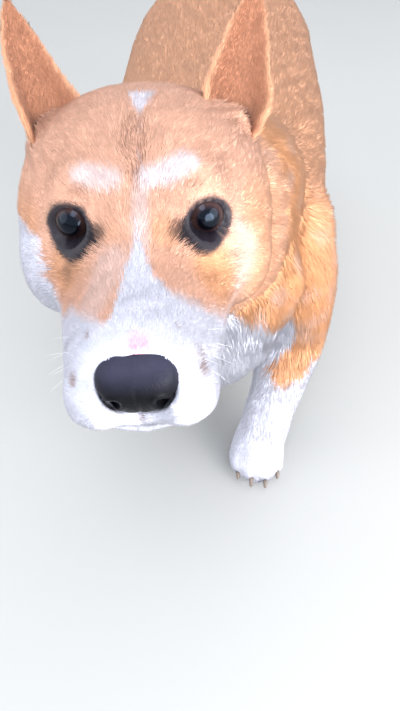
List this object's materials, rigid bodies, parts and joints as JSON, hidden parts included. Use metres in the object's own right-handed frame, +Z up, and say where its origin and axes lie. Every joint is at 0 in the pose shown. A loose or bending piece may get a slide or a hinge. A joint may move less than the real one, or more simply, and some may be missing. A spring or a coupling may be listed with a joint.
{
  "type": "pembroke welsh corgi",
  "caption": "Life-size standing dog, a fawn and white pembroke welsh corgi in mid step with its head low, for use as a still figure on a level floor",
  "frame": {"origin": "middle of the bounding box seen from above, at the floor the paws stand on", "axes": "Z is up, Y runs along the dog with its nose towards -Y, X points to the dog's own left"},
  "size_m": [0.2246, 0.7054, 0.3619],
  "materials": {
    "coat_fawn": "soft short fur, orange fawn",
    "coat_white": "soft short fur, white",
    "eye": "wet and glossy, dark brown",
    "nose_leather": "moist black leather with fine bumps",
    "claw_horn": "smooth grey brown horn"
  },
  "bodies": {
    "root": {"belly": "coat_fawn", "chest": "coat_fawn", "claw_fore_left_a": "claw_horn", "claw_fore_left_b": "claw_horn", "claw_fore_left_c": "claw_horn", "claw_fore_left_d": "claw_horn", "claw_fore_right_a": "claw_horn", "claw_fore_right_b": "claw_horn", "claw_fore_right_c": "claw_horn", "claw_fore_right_d": "claw_horn", "claw_hind_left_a": "claw_horn", "claw_hind_left_b": "claw_horn", "claw_hind_left_c": "claw_horn", "claw_hind_left_d": "claw_horn", "claw_hind_right_a": "claw_horn", "claw_hind_right_b": "claw_horn", "claw_hind_right_c": "claw_horn", "claw_hind_right_d": "claw_horn", "ear_left": "coat_fawn", "ear_right": "coat_fawn", "eye_left": "eye", "eye_right": "eye", "fore_paw_left": "coat_white", "fore_paw_right": "coat_white", "forearm_left": "coat_white", "forearm_right": "coat_white", "head": "coat_fawn", "hind_paw_left": "coat_white", "hind_paw_right": "coat_white", "hock_left": "coat_white", "hock_right": "coat_white", "lower_jaw": "coat_white", "lower_thigh_left": "coat_fawn", "lower_thigh_right": "coat_fawn", "neck": "coat_fawn", "nose": "nose_leather", "rump": "coat_fawn", "tail": "coat_fawn", "thigh_left": "coat_fawn", "thigh_right": "coat_fawn", "upper_arm_left": "coat_fawn", "upper_arm_right": "coat_fawn"}
  },
  "joints": []
}
